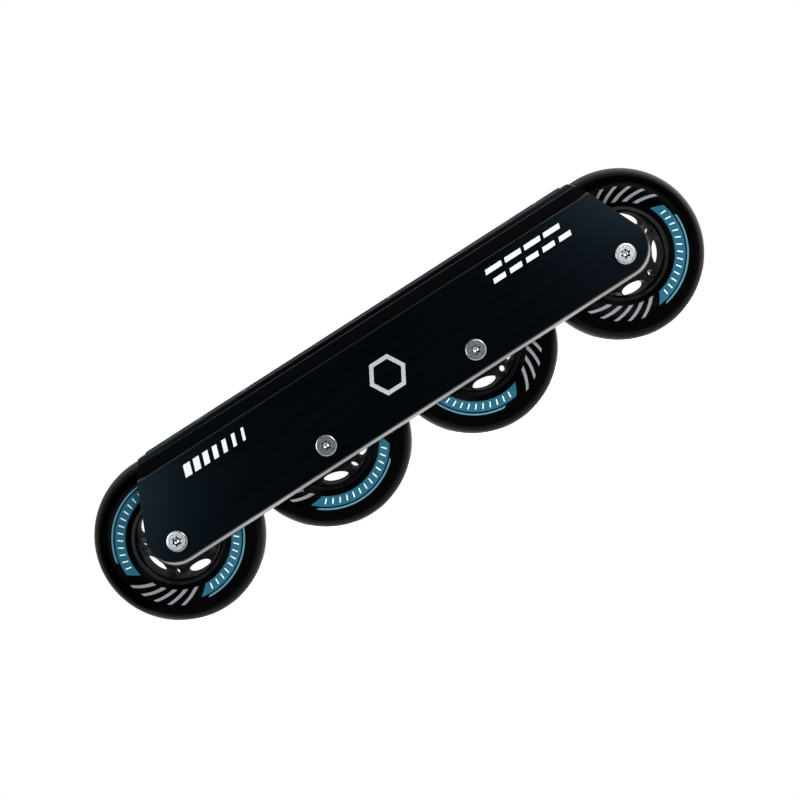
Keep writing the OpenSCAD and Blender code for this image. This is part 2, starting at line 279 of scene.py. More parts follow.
def groove_shade_and_matt_deck_aluminium(settings):
    """The groove, darkened as painted shade, and the deck's top, made matt."""
    # A dead black painted into the groove as its shade, which sets the flange off from the wall, and a deck
    # that doesn't mirror the room.
    made, tree, shader = new_material("groove_shade_and_matt_deck_aluminium")
    set_sockets(shader, IOR=1.45, Specular_IOR_Level=0.03)
    lines = speckle(tree, (60 * MM, 0.7 * MM, 0.7 * MM))
    mottle(tree, shader, lines, linear("#010101"), settings.anodise, 0.5, 0.6)
    return made


def rubbed_edge_and_highlight_aluminium(settings):
    """The broken edges, where handling has polished the black, lightened as a painted highlight."""
    # Glossier than the walls, and a little greyer as a painted highlight, so that an edge shows a thin line
    # of light.
    made, tree, shader = new_material("rubbed_and_highlight_black_aluminium")
    set_sockets(shader, IOR=1.5, Specular_IOR_Level=0.5)
    rub_and_highlight_patches = speckle(tree, (9 * MM, 3 * MM, 9 * MM))
    mottle(tree, shader, rub_and_highlight_patches, settings.anodise_pale, linear("#101113"), 0.3, 0.22)
    return made


def milled_aluminium(settings):
    """Bare aluminium left by the bevel cutter after anodising."""
    # A long cutter leaves bright metal with faint streaks along its path.
    made, tree, shader = new_material("milled_aluminium")
    set_sockets(shader, Metallic=1.0)
    streaks = speckle(tree, (14 * MM, 0.5 * MM, 0.5 * MM))
    mottle(tree, shader, streaks, settings.raw_metal, linear("#A8A7A5"), 0.3, 0.4)
    relief(tree, shader, streaks, 0.006 * MM)
    return made


def screen_ink(name, colour):
    """Screen-printed ink."""
    # A flat, slightly chalky film, with a fine mottle where the mesh left it thinner.
    # The mesh's grain is about 0.1 mm, and is drawn 0.45 mm wide so that it shows.
    made, tree, shader = new_material(name)
    set_sockets(shader, IOR=1.5, Specular_IOR_Level=0.1)
    grain = speckle(tree, (0.45 * MM,) * 3)
    thin = [channel * 0.8 for channel in colour[:3]] + [1.0]
    mottle(tree, shader, grain, thin, colour, 0.5, 0.4)
    return made


def cast_polyurethane(settings):
    """Cast polyurethane from a polished mould."""
    # A dense, slightly oily black that mirrors softly at a low angle.
    made, tree, shader = new_material("black_cast_polyurethane")
    set_sockets(shader, IOR=1.5, Specular_IOR_Level=0.01)
    cloud = speckle(tree, (6 * MM,) * 3, detail=4.0)
    mottle(tree, shader, cloud, settings.urethane, linear("#020203"), 0.22, 0.3)
    return made


def ground_polyurethane(settings):
    """Polyurethane ground true on a lathe."""
    # Matt black with fine rings round the tread, 0.1 mm apart and drawn 0.35 mm apart so that they show.
    made, tree, shader = new_material("ground_polyurethane_tread")
    set_sockets(shader, IOR=1.5, Specular_IOR_Level=0.035)
    rings = speckle(tree, (0.2, 0.35 * MM, 1.0), turned=True)
    mottle(tree, shader, rings, settings.urethane_ground, linear("#040404"), 0.34, 0.44)
    relief(tree, shader, rings, 0.01 * MM)
    return made


def moulded_nylon(settings):
    """Glass-filled nylon, injection moulded in black."""
    # Glossy where the mould was polished, with a faint flow mottle that breaks up its highlights.
    made, tree, shader = new_material("black_moulded_nylon")
    set_sockets(shader, IOR=1.53, Specular_IOR_Level=0.09)
    flow = speckle(tree, (4 * MM, 6 * MM, 4 * MM), detail=3.0)
    mottle(tree, shader, flow, settings.nylon, linear("#08090A"), 0.18, 0.28)
    return made


def zinc_plated_steel(settings):
    """Steel turned on a lathe, then zinc plated."""
    # Bright grey with a soft bloom. The turning marks run in rings that the plating has softened,
    # and are drawn 0.4 mm apart so that they show.
    made, tree, shader = new_material("zinc_plated_steel")
    set_sockets(shader, Metallic=1.0)
    rings = speckle(tree, (0.08, 0.4 * MM, 1.0), turned=True)
    mottle(tree, shader, rings, settings.zinc, linear("#A5A6A8"), 0.22, 0.28)
    relief(tree, shader, rings, 0.003 * MM)
    return made


def oiled_socket_shade_steel(settings):
    """The socket's walls, which the plating hardly reached, dark with oil and darkened further as painted
    shade.
    """
    # Dark and wet, with painted shade that makes the socket read as a deep hole with a few glints.
    made, tree, shader = new_material("oil_and_painted_shade_socket_steel")
    set_sockets(shader, Metallic=1.0)
    film = speckle(tree, (0.4 * MM,) * 3)
    mottle(tree, shader, film, settings.socket_oil_and_shade, linear("#2A2A2B"), 0.2, 0.4)
    return made


def bearing_metal(name, colour, rough_low, rough_high):
    """A bearing steel or turned aluminium, with the faint streaks of its last cut."""
    # Clean bare metal: fine streaks along the axle's direction break up the mirror.
    made, tree, shader = new_material(name)
    set_sockets(shader, Metallic=1.0)
    streaks = speckle(tree, (0.5 * MM, 2.5 * MM, 0.5 * MM))
    pale = [min(1.0, channel * 1.2) for channel in colour[:3]] + [1.0]
    mottle(tree, shader, streaks, colour, pale, rough_low, rough_high)
    return made


def natural_nylon(settings):
    """Undyed nylon, injection moulded."""
    # Creamy and slightly waxy, a little darker where it is thick.
    made, tree, shader = new_material("natural_nylon")
    set_sockets(shader, IOR=1.53)
    cloud = speckle(tree, (1.5 * MM,) * 3)
    mottle(tree, shader, cloud, settings.cage, linear("#E0D9C6"), 0.38, 0.5)
    return made


def backlit_acrylic(settings):
    """A light table's white acrylic sheet."""
    # Even and pale, glowing from below so that it holds hardly any shadow, with a faint stipple.
    made, tree, shader = new_material("backlit_white_acrylic")
    glow = {"Emission_Color": (1.0, 1.0, 1.0, 1.0), "Emission_Strength": settings.floor_glow}
    set_sockets(shader, IOR=1.45, Specular_IOR_Level=0.2, **glow)
    stipple = speckle(tree, (3 * MM,) * 3)
    mottle(tree, shader, stipple, settings.floor, linear("#FBFBFB"), 0.85, 0.95)
    return made


def add_piece(name, mesh, materials, body, slot, *nodes):
    """Links a finished mesh as a piece that rides on a body and stands for the CAD nodes given."""
    piece = bpy.data.objects.new(name, mesh)
    bpy.context.scene.collection.objects.link(piece)
    for made in materials:
        mesh.materials.append(made)
    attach(piece, body)
    if nodes:
        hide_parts(*nodes)
    return piece


def shade_by_angle(mesh, degrees):
    """Smooth shading, with edges sharper than this angle left crisp."""
    mesh.shade_smooth()
    mesh.set_sharp_from_angle(angle=math.radians(degrees))


def keep_flat(mesh, area):
    """Flat shading on the side walls and on faces larger than an area in square metres.

    Their broken edges would otherwise bend the light across them.
    """
    straight_across = 0.9999
    for face in mesh.polygons:
        face.use_smooth = face.area < area and abs(face.normal.y) < straight_across


def crowded(edge, room):
    """Whether an edge of the same face that doesn't touch this one is nearer to its middle than the room."""
    middle = (edge.verts[0].co + edge.verts[1].co) / 2
    for face in edge.link_faces:
        for other in face.edges:
            if set(edge.verts).isdisjoint(other.verts):
                start, end = (vert.co for vert in other.verts)
                share = intersect_point_line(middle, start, end)[1]
                if (start.lerp(end, min(max(share, 0.0), 1.0)) - middle).length < room:
                    return True
    return False


def edges_to_break(shell, room):
    """The sharp edges of a shell, apart from those that would fold when broken.

    These are the crowded ones and their neighbours.
    """
    sharp_angle = math.radians(35)
    sharp = [edge for edge in shell.edges if edge.calc_face_angle(0.0) > sharp_angle]
    corners = {vert for edge in sharp if crowded(edge, room) for vert in edge.verts}
    return [edge for edge in sharp if corners.isdisjoint(edge.verts)]


def softened_copy(node, name, edge_width, room=0.0):
    """A welded copy of a CAD node's mesh with its sharp edges broken, and the numbers of their faces.

    Edges with less than the room beside them stay sharp.
    """
    flat_angle = math.radians(0.3)
    shell = bmesh.new()
    shell.from_mesh(frame["nodes"][node].data)
    bmesh.ops.remove_doubles(shell, verts=shell.verts, dist=WELD)
    bmesh.ops.dissolve_limit(shell, angle_limit=flat_angle, verts=shell.verts, edges=shell.edges)
    weight = shell.edges.layers.float.new("bevel_weight_edge")
    for edge in edges_to_break(shell, room):
        edge[weight] = 1.0
    welded = bpy.data.meshes.new(name)
    shell.to_mesh(welded)
    shell.free()
    whole, broken = 0, 1
    for _ in (whole, broken):
        welded.materials.append(None)
    carrier = bpy.data.objects.new(name + "_carrier", welded)
    bpy.context.scene.collection.objects.link(carrier)
    breaker = carrier.modifiers.new("Broken Edges", "BEVEL")
    breaker.width = edge_width
    breaker.segments = 2
    breaker.limit_method = "WEIGHT"
    breaker.use_clamp_overlap = False
    # Corners that slid along the edges between a wall's own faces would tear it into wedges
    breaker.loop_slide = False
    breaker.material = broken
    mesh = bpy.data.meshes.new_from_object(carrier.evaluated_get(bpy.context.evaluated_depsgraph_get()))
    bpy.data.objects.remove(carrier)
    shell = bmesh.new()
    shell.from_mesh(mesh)
    bmesh.ops.dissolve_degenerate(shell, dist=WELD, edges=shell.edges)
    shell.to_mesh(mesh)
    shell.free()
    edges = {face.index for face in mesh.polygons if face.material_index == broken}
    mesh.materials.clear()
    mesh.name = name
    return mesh, edges


def turned_mesh(name, centre, profile, segments, closed=False):
    """Turns a profile about an axle that runs along Y through centre.

    The profile is a list of (radius, offset): offset runs from the axle's middle to the near side, and
    radius is a length or a function of the angle. A closed profile joins its last point to its first.
    The UV map named turned holds the turn from 0 to 1 and the length along the profile in metres.
    """
    shell = bmesh.new()
    uv = shell.loops.layers.uv.new("turned")
    rings = []
    for radius, offset in profile:
        count = 1 if radius == 0 else segments
        ring = []
        for k in range(count):
            angle = 2 * math.pi * k / segments
            reach = radius(angle) if callable(radius) else radius
            spoke = Vector((reach * math.cos(angle), -offset, reach * math.sin(angle)))
            ring.append(shell.verts.new(centre + spoke))
        rings.append(ring)
    spans = list(zip(rings, rings[1:] + rings[:1]))
    run = 0.0
    for first, second in spans if closed else spans[:-1]:
        step = (first[0].co - second[0].co).length
        for k in range(segments):
            after = (k + 1) % segments
            corners = [(first, k, 0.0), (first, after, 0.0), (second, after, step), (second, k, step)]
            if len(first) == 1:
                corners.pop(0)
            if len(second) == 1:
                corners.pop()
            face = shell.faces.new([ring[turn % len(ring)] for ring, turn, _ in corners])
            for loop, (_, turn, along) in zip(face.loops, corners):
                loop[uv].uv = ((k + (turn == after)) / segments, run + along)
        run += step
    bmesh.ops.recalc_face_normals(shell, faces=shell.faces)
    mesh = bpy.data.meshes.new(name)
    shell.to_mesh(mesh)
    shell.free()
    return mesh


def baked_tree(name, tree, inputs):
    """The plain mesh that a Geometry Nodes tree makes from these named inputs."""
    carrier = bpy.data.objects.new(name + "_carrier", bpy.data.meshes.new(name))
    bpy.context.scene.collection.objects.link(carrier)
    modifier = carrier.modifiers.new("Shape", "NODES")
    modifier.node_group = tree
    sockets = {item.name: item.identifier for item in tree.interface.items_tree if item.in_out == "INPUT"}
    for label, value in inputs.items():
        modifier[sockets[label]] = value
    mesh = bpy.data.meshes.new_from_object(carrier.evaluated_get(bpy.context.evaluated_depsgraph_get()))
    carrier.modifiers.remove(modifier)
    bpy.data.objects.remove(carrier)
    mesh.name = name
    return mesh


def new_tree(name, inputs):
    """A Geometry Nodes tree with these named inputs, and the outputs of its input node."""
    tree = bpy.data.node_groups.new(name, "GeometryNodeTree")
    for label, kind in inputs:
        tree.interface.new_socket(label, in_out="INPUT", socket_type="NodeSocket" + kind)
    tree.interface.new_socket("Geometry", in_out="OUTPUT", socket_type="NodeSocketGeometry")
    return tree, add_node(tree, "NodeGroupInput").outputs


def calc(tree, operation, *values):
    """The result of a math node with these inputs."""
    return add_node(tree, "ShaderNodeMath", dict(enumerate(values)), operation=operation).outputs[0]


def calc_vector(tree, operation, *values):
    """The result of a vector math node with these inputs."""
    return add_node(tree, "ShaderNodeVectorMath", dict(enumerate(values)), operation=operation).outputs[0]


def combine(tree, **parts):
    """A vector from the parts given by the names of their axes."""
    return add_node(tree, "ShaderNodeCombineXYZ", parts).outputs[0]


def end_tree(tree, instances, ink):
    """Ends a tree in real geometry with its material."""
    real = add_node(tree, "GeometryNodeRealizeInstances", {"Geometry": instances})
    inked = add_node(tree, "GeometryNodeSetMaterial", {"Geometry": real.outputs[0], "Material": ink})
    add_node(tree, "NodeGroupOutput", {"Geometry": inked.outputs[0]})


def ring_print_tree():
    """Thin film marks laid on a tyre's side and repeated round its axle, in groups.

    A mark is a small box whose X runs round the axle, whose Y runs out along the radius and whose Z is
    the film's thickness. A ray finds the tyre's face under each of its points.
    """
    tree, given = new_tree(
        "ring_print",
        (
            ("Tyre", "Object"),
            ("Centre", "Vector"),
            ("Side", "Float"),
            ("Groups", "Int"),
            ("Members", "Int"),
            ("Start", "Float"),
            ("Step", "Float"),
            ("Width", "Float"),
            ("Taper", "Float"),
            ("Slant", "Float"),
            ("Inner Radius", "Float"),
            ("Outer Radius", "Float"),
            ("Points Round", "Int"),
            ("Points Out", "Int"),
            ("Film", "Float"),
            ("Ink", "Material"),
        ),
    )
    box = add_node(
        tree,
        "GeometryNodeMeshCube",
        {"Vertices X": given["Points Round"], "Vertices Y": given["Points Out"], "Vertices Z": 2},
    ).outputs["Mesh"]
    spot = add_node(tree, "GeometryNodeInputPosition").outputs[0]
    along = add_node(tree, "ShaderNodeSeparateXYZ", {0: spot}).outputs

    # The angle of a point in the mark, from its width there and its slant
    rise = calc(tree, "ADD", along["Y"], 0.5)
    cut = calc(tree, "MULTIPLY", rise, given["Taper"])
    kept = calc(tree, "SUBTRACT", 1.0, cut)
    width = calc(tree, "MULTIPLY", kept, given["Width"])
    lean = calc(tree, "MULTIPLY", along["Y"], given["Slant"])
    angle = calc(tree, "MULTIPLY_ADD", along["X"], width, lean)
    back = calc(tree, "MULTIPLY", given["Side"], -1.0)
    turn = calc(tree, "MULTIPLY", angle, back)

    # The point beside the tyre from which a ray runs in to its side
    radii = {2: given["Inner Radius"], 3: given["Outer Radius"]}
    radius = add_node(tree, "ShaderNodeMix", {0: rise, **radii}, data_type="FLOAT").outputs[0]
    beside = calc(tree, "MULTIPLY", given["Side"], TYRE_W)
    out = combine(tree, X=radius, Y=beside)
    turned = add_node(
        tree, "ShaderNodeVectorRotate", {"Vector": out, "Angle": turn}, rotation_type="Y_AXIS"
    ).outputs[0]
    source = calc_vector(tree, "ADD", turned, given["Centre"])
    inward = combine(tree, Y=back)
    tyre = add_node(tree, "GeometryNodeObjectInfo", {"Object": given["Tyre"]}).outputs["Geometry"]
    ray = add_node(
        tree,
        "GeometryNodeRaycast",
        {
            "Target Geometry": tyre,
            "Source Position": source,
            "Ray Direction": inward,
            "Ray Length": 2 * TYRE_W,
        },
    ).outputs

    # Half of the film's thickness lies in the tyre's skin and half stands proud
    lift = calc(tree, "MULTIPLY", along["Z"], given["Film"])
    proud = add_node(
        tree, "ShaderNodeVectorMath", {0: ray["Hit Normal"], "Scale": lift}, operation="SCALE"
    ).outputs[0]
    laid = calc_vector(tree, "ADD", ray["Hit Position"], proud)
    local = calc_vector(tree, "SUBTRACT", laid, given["Centre"])
    mark = add_node(tree, "GeometryNodeSetPosition", {"Geometry": box, "Position": local}).outputs[0]

    # One turn about the axle for each copy: members in a group, groups evenly round the tyre
    count = calc(tree, "MULTIPLY", given["Groups"], given["Members"])
    index = add_node(tree, "GeometryNodeInputIndex").outputs[0]
    share = calc(tree, "DIVIDE", index, given["Members"])
    group = calc(tree, "FLOOR", share)
    member = calc(tree, "MODULO", index, given["Members"])
    last = calc(tree, "SUBTRACT", given["Members"], 1.0)
    middle = calc(tree, "MULTIPLY_ADD", last, -0.5, member)
    sweep = calc(tree, "DIVIDE", 2 * math.pi, given["Groups"])
    first = calc(tree, "MULTIPLY_ADD", group, sweep, given["Start"])
    place = calc(tree, "MULTIPLY_ADD", middle, given["Step"], first)
    about = calc(tree, "MULTIPLY", place, back)
    spin = add_node(
        tree, "FunctionNodeAxisAngleToRotation", {"Axis": (0.0, 1.0, 0.0), "Angle": about}
    ).outputs[0]
    points = add_node(tree, "GeometryNodePoints", {"Count": count, "Position": given["Centre"]}).outputs[0]
    copies = add_node(
        tree, "GeometryNodeInstanceOnPoints", {"Points": points, "Instance": mark, "Rotation": spin}
    ).outputs[0]
    end_tree(tree, copies, given["Ink"])
    return tree


def row_print_tree():
    """A row of thin slanted bars on the near wall, each a little narrower than the one before."""
    tree, given = new_tree(
        "row_print",
        (
            ("Place", "Vector"),
            ("Bars", "Int"),
            ("Step", "Float"),
            ("Width", "Float"),
            ("Height", "Float"),
            ("Slant", "Float"),
            ("Narrowing", "Float"),
            ("Film", "Float"),
            ("Ink", "Material"),
        ),
    )
    size = combine(tree, X=given["Width"], Y=given["Film"], Z=given["Height"])
    box = add_node(tree, "GeometryNodeMeshCube", {"Size": size}).outputs["Mesh"]
    index = add_node(tree, "GeometryNodeInputIndex").outputs[0]
    cut = calc(tree, "MULTIPLY", index, given["Narrowing"])
    kept = calc(tree, "SUBTRACT", 1.0, cut)
    scale = combine(tree, X=kept, Y=1.0, Z=1.0)
    last = calc(tree, "SUBTRACT", given["Bars"], 1.0)
    middle = calc(tree, "MULTIPLY_ADD", last, -0.5, index)
    along = calc(tree, "MULTIPLY", middle, given["Step"])
    offset = combine(tree, X=along)
    points = add_node(tree, "GeometryNodePoints", {"Count": given["Bars"], "Position": offset}).outputs[0]
    copies = add_node(
        tree, "GeometryNodeInstanceOnPoints", {"Points": points, "Instance": box, "Scale": scale}
    ).outputs[0]
    real = add_node(tree, "GeometryNodeRealizeInstances", {"Geometry": copies}).outputs[0]

    # The slant moves each point along the wall in step with its height
    spot = add_node(tree, "GeometryNodeInputPosition").outputs[0]
    height = add_node(tree, "ShaderNodeSeparateXYZ", {0: spot}).outputs["Z"]
    lean = calc(tree, "MULTIPLY", height, given["Slant"])
    shift = combine(tree, X=lean)
    moved = calc_vector(tree, "ADD", shift, given["Place"])
    laid = add_node(tree, "GeometryNodeSetPosition", {"Geometry": real, "Offset": moved}).outputs[0]
    end_tree(tree, laid, given["Ink"])
    return tree


class SKATE_OT_chassis(Operator):
    """Finish the chassis: broken edges, black anodising and bare metal on the milled bevels"""

    bl_idname = "skate.chassis"
    bl_label = "Finish Chassis"

    def execute(self, context):
        settings = context.scene.skate_chassis
        mesh, edges = softened_copy("chassis", "chassis_finish", settings.edge_width)
        bare, groove_shade_and_matt_deck, rubbed_and_highlight = 1, 2, 3
        # A height just under the shoulder, and the depths in from the walls' faces between which the
        # bevel and the groove lie
        below_shoulder = -9.2 * MM
        bevel_top, bevel_foot = 0.3 * MM, 1.9 * MM
        groove_mouth, groove_floor = 0.9 * MM, 2.5 * MM
        # Parts of a face's normal between which it slants, and above which it is level
        least_slant, level = 0.1, 0.95
        for face in mesh.polygons:
            inset = WALL_Y - abs(face.center.y)
            low = face.center.z < below_shoulder
            slanted = least_slant < abs(face.normal.y) < level
            if low and slanted and bevel_top < inset < bevel_foot:
                face.material_index = bare
            # The groove's faces get a darker black as painted shade, and the deck's top is only made matt
            elif not low and (groove_mouth < inset < groove_floor or face.normal.z > level):
                face.material_index = groove_shade_and_matt_deck
            # The broken edges get the rubbed finish, whose greyer colour is a painted highlight
            elif face.index in edges:
                face.material_index = rubbed_and_highlight
        shade_by_angle(mesh, degrees=18)
        keep_flat(mesh, area=60 * MM**2)
        finishes = (
            black_anodised_aluminium(settings),
            milled_aluminium(settings),
            groove_shade_and_matt_deck_aluminium(settings),
            rubbed_edge_and_highlight_aluminium(settings),
        )
        add_piece("chassis_finish", mesh, finishes, "frame", "chassis", "chassis")
        return {"FINISHED"}


class SKATE_OT_chassis_marks(Operator):
    """Print plain marks on the near wall: a bar row, two dash rows and a six-sided ring"""

    bl_idname = "skate.chassis_marks"
    bl_label = "Print Chassis Marks"

    def execute(self, context):
        settings = context.scene.skate_chassis
        ink = screen_ink("white_screen_ink", settings.ink)
        tree = row_print_tree()
        axle_z = AXLES["wheel_1"].z
        # Place from the middle of the axles' line, bars, step, width, height, slant and narrowing, with
        # lengths in mm
        rows = {
            "heel_bars": (Vector((-84.5, 0, 24.8)), settings.row_bars, 5.0, 3.6, 5.6, 0.35, 0.1),
            "toe_dashes_upper": (Vector((83.0, 0, 27.0)), 4, 10.4, 8.6, 2.3, 0.3, 0.0),
            "toe_dashes_lower": (Vector((85.0, 0, 21.6)), 5, 8.8, 6.4, 2.3, 0.3, 0.0),
        }
        for name, (place, bars, step, width, height, slant, narrowing) in rows.items():
            inputs = {
                "Place": place * MM + Vector((0, -WALL_Y, axle_z)),
                "Bars": bars,
                "Step": step * MM,
                "Width": width * MM,
                "Height": height * MM,
                "Slant": slant,
                "Narrowing": narrowing,
                "Film": settings.film,
                "Ink": ink,
            }
            add_piece(name, baked_tree(name, tree, inputs), (), "frame", "chassis")
        outer = settings.ring_width / 2
        inner = outer - settings.ring_stroke
        low = WALL_Y - settings.film / 2
        high = WALL_Y + settings.film / 2
        section = [(outer, low), (outer, high), (inner, high), (inner, low)]
        past_middle, above_axles = 0.5 * MM, 12 * MM
        centre = Vector((past_middle, 0, axle_z + above_axles))
        ring = turned_mesh("plain_ring", centre, section, segments=6, closed=True)
        silver = screen_ink("silver_screen_ink", settings.ring_ink)
        add_piece("plain_ring", ring, (silver,), "frame", "chassis")
        return {"FINISHED"}


def tyre_profile(settings):
    """Half of a tyre's section from its groove out to the middle of the tread, as (radius, offset)."""
    groove_depth = 3.5 * MM
    groove_radius = settings.root_radius + groove_depth
    groove_half = 4.02 * MM
    root_half = settings.root_width / 2
    bulge = TYRE_W / 2 - root_half
    tread = TYRE_R - settings.side_radius
    power = 2 / settings.tread_power
    side_steps = 14
    tread_steps = 28
    half = [(groove_radius, groove_half), (settings.root_radius, groove_half)]
    for k in range(side_steps):
        share = k / side_steps
        radius = settings.root_radius + (settings.side_radius - settings.root_radius) * share
        half.append((radius, root_half + bulge * math.sin(math.pi / 2 * share)))
    for k in range(tread_steps):
        angle = math.pi / 2 * k / tread_steps
        radius = settings.side_radius + tread * math.sin(angle) ** power
        half.append((radius, TYRE_W / 2 * math.cos(angle) ** power))
    return half


class SKATE_OT_tyres(Operator):
    """Turn the tyres: smooth cast sides and a ground tread"""

    bl_idname = "skate.tyres"
    bl_label = "Turn Tyres"

    def execute(self, context):
        settings = context.scene.skate_tyre
        half = tyre_profile(settings)
        section = half + [(TYRE_R, 0.0)] + [(radius, -offset) for radius, offset in reversed(half)]
        finishes = (cast_polyurethane(settings), ground_polyurethane(settings))
        for i in WHEELS:
            body = f"wheel_{i}"
            centre = AXLES[body]
            name = f"tyre_cast_{i}"
            mesh = turned_mesh(name, centre, section, settings.segments, closed=True)
            for face in mesh.polygons:
                away = face.center - centre
                face.material_index = int(math.hypot(away.x, away.z) > settings.ground_radius)
            shade_by_angle(mesh, degrees=30)
            add_piece(name, mesh, finishes, body, "tyre", f"tyre_{i}")
        return {"FINISHED"}


class SKATE_OT_tyre_prints(Operator):
    """Print the tyres' sides: teal arcs with a white scale, thin blue arcs and slanted grey bars"""

    bl_idname = "skate.tyre_prints"
    bl_label = "Print Tyres"

    def execute(self, context):
        settings = context.scene.skate_print
        teal = screen_ink("teal_screen_ink", settings.teal)
        blue = screen_ink("blue_screen_ink", settings.blue)
        grey = screen_ink("grey_screen_ink", settings.grey)
        white = screen_ink("white_tyre_ink", settings.white)
        tree = ring_print_tree()
        # Ink, members, start, step, width and slant in degrees, taper as a share, inner and outer radius
        # in mm, points round and out, and share of the film's thickness
        marks = {
            "teal_arc": (teal, 1, (0, 0, 104, 9), 0.0, (24.4, 29.2), (60, 7), 1.0),
            "blue_arc": (blue, 1, (8, 0, 84, 2), 0.0, (29.9, 30.7), (50, 3), 1.0),
            "scale_mark": (white, 13, (0, 7.2, 1.2, 1), 0.0, (25.4, 28.0), (2, 4), 1.6),
            "grey_bar": (grey, 5, (90, 12, 5.2, 16), 0.35, (24.0, 31.0), (4, 9), 1.0),
        }
        # Turn of each tyre's print in degrees
        turns = {1: 135, 2: -80, 3: -128, 4: -30}
        for i in WHEELS:
            body = f"wheel_{i}"
            for side, word in ((NEAR, "near"), (FAR, "far")):
                for label, (ink, members, angles, taper, radii, points, film_share) in marks.items():
                    start, step, width, slant = angles
                    inputs = {
                        "Tyre": bpy.data.objects[f"tyre_cast_{i}"],
                        "Centre": AXLES[body],
                        "Side": float(side),
                        "Groups": 2,
                        "Members": members,
                        "Start": math.radians(start - turns[i]),
                        "Step": math.radians(step),
                        "Width": math.radians(width),
                        "Taper": taper,
                        "Slant": math.radians(slant),
                        "Inner Radius": radii[0] * MM,
                        "Outer Radius": radii[1] * MM,
                        "Points Round": points[0],
                        "Points Out": points[1],
                        "Film": settings.film * film_share,
                        "Ink": ink,
                    }
                    name = f"{label}s_{word}_{i}"
                    mesh = baked_tree(name, tree, inputs)
                    shade_by_angle(mesh, degrees=30)
                    add_piece(name, mesh, (), body, "tyre")
        return {"FINISHED"}


class SKATE_OT_hubs(Operator):
    """Finish the hubs: rounded edges and glossy black nylon"""

    bl_idname = "skate.hubs"
    bl_label = "Finish Hubs"

    def execute(self, context):
        settings = context.scene.skate_hub
        nylon = moulded_nylon(settings)
        for i in WHEELS:
            name = f"hub_moulding_{i}"
            mesh, _ = softened_copy(f"hub_{i}", name, settings.edge_width, settings.edge_room)
            shade_by_angle(mesh, degrees=25)
            add_piece(name, mesh, (nylon,), f"wheel_{i}", "hub", f"hub_{i}")
        return {"FINISHED"}


def socket_outline(settings, grow):
    """The radius of the six-lobed socket at an angle, with its edge grown outwards."""
    reach = settings.valley_reach + settings.valley_radius
    lobe_pitch = math.pi / 3

    def radius(angle):
        lean = math.remainder(angle - lobe_pitch / 2, lobe_pitch)
        aside = reach * math.sin(lean)
        if abs(aside) >= settings.valley_radius:
            return settings.lobe_radius + grow
        valley = reach * math.cos(lean) - math.sqrt(settings.valley_radius**2 - aside**2)
        return min(settings.lobe_radius, valley) + grow

    return radius


def head_profile(settings):
    """An axle head from the middle of its socket out to the wall, as (radius, offset)."""
    top = HEAD_Y
    floor = top - settings.socket_depth
    drill_point = 0.75 * MM
    edge = settings.head_edge
    rim = settings.head_radius - edge
    chamfer = 0.12 * MM
    wall_draft = 0.05 * MM
    floor_edge = 0.1 * MM
    edge_steps = 5
    ring_in, ring_out = 3.35 * MM, 4.0 * MM
    profile = [
        (0, floor),
        (settings.drill_radius, floor + drill_point),
        (socket_outline(settings, -wall_draft), floor + drill_point + floor_edge),
        (socket_outline(settings, 0.0), top - chamfer),
        (socket_outline(settings, chamfer), top),
        (ring_in, top),
        (ring_in + chamfer, top - settings.ring_depth),
        (ring_out, top - settings.ring_depth),
        (ring_out + chamfer, top),
    ]
    for k in range(edge_steps + 1):
        angle = math.pi / 2 * (1 - k / edge_steps)
        profile.append((rim + edge * math.cos(angle), top - edge + edge * math.sin(angle)))
    profile += [(settings.head_radius, WALL_Y + chamfer), (settings.head_radius - chamfer, WALL_Y)]
    return profile


class SKATE_OT_axles(Operator):
    """Turn the axle bolts and sleeves, with six-lobed sockets and zinc plating"""

    bl_idname = "skate.axles"
    bl_label = "Turn Axles"

    def execute(self, context):
        settings = context.scene.skate_axle
        finishes = (zinc_plated_steel(settings), oiled_socket_shade_steel(settings))
        head = head_profile(settings)
        shank, chamfer = 3 * MM, 0.6 * MM
        barrel, bore, bore_past_tip = 3.95 * MM, 3.05 * MM, 3 * MM
        # Distances from the axle's middle between which the socket's walls lie
        socket_low, socket_high = WALL_Y - MM, HEAD_Y - 0.1 * MM
        for i in WHEELS:
            centre = AXLES[f"wheel_{i}"]
            tip = -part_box(f"axle_bolt_{i}")[1].y
            bolt = head + [(shank, WALL_Y), (shank, tip + chamfer), (shank - chamfer, tip), (0, tip)]
            mouth = -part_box(f"axle_sleeve_{i}")[0].y
            bore_end = tip - bore_past_tip
            sleeve = [(radius, -offset) for radius, offset in head]
            sleeve += [(barrel, -WALL_Y), (barrel, mouth), (bore, mouth), (bore, bore_end), (0, bore_end)]
            for kind, profile in (("bolt", bolt), ("sleeve", sleeve)):
                name = f"plated_{kind}_{i}"
                mesh = turned_mesh(name, centre, profile, settings.segments)
                for face in mesh.polygons:
                    away = face.center - centre
                    reach = math.hypot(away.x, away.z)
                    sunk = socket_low < abs(away.y) < socket_high
                    # The socket's walls take the oily finish, which also paints the hole's shade
                    face.material_index = int(sunk and settings.drill_radius < reach < settings.lobe_radius)
                shade_by_angle(mesh, degrees=32)
                add_piece(name, mesh, finishes, "frame", "axle", f"axle_{kind}_{i}")
        return {"FINISHED"}


class SKATE_OT_bearings(Operator):
    """Give the bearings, spacers and washers their metals and nylon"""

    bl_idname = "skate.bearings"
    bl_label = "Finish Bearings"

    def execute(self, context):
        settings = context.scene.skate_bearing
        steel = bearing_metal("ground_bearing_steel", settings.steel, 0.18, 0.3)
        turned = bearing_metal("turned_aluminium", settings.spacer, 0.3, 0.45)
        finishes = {
            "outer_races": steel,
            "inner_races": steel,
            "shields": bearing_metal("pressed_steel_shield", settings.shield, 0.3, 0.45),
            "balls": bearing_metal("polished_ball_steel", settings.ball, 0.06, 0.12),
            "cages": natural_nylon(settings),
            "bearing_spacer": turned,
            "washers": turned,
        }
        for kind, made in finishes.items():
            for i in WHEELS:
                for holder in frame["nodes"][f"{kind}_{i}"].material_slots:
                    holder.material = made
        return {"FINISHED"}


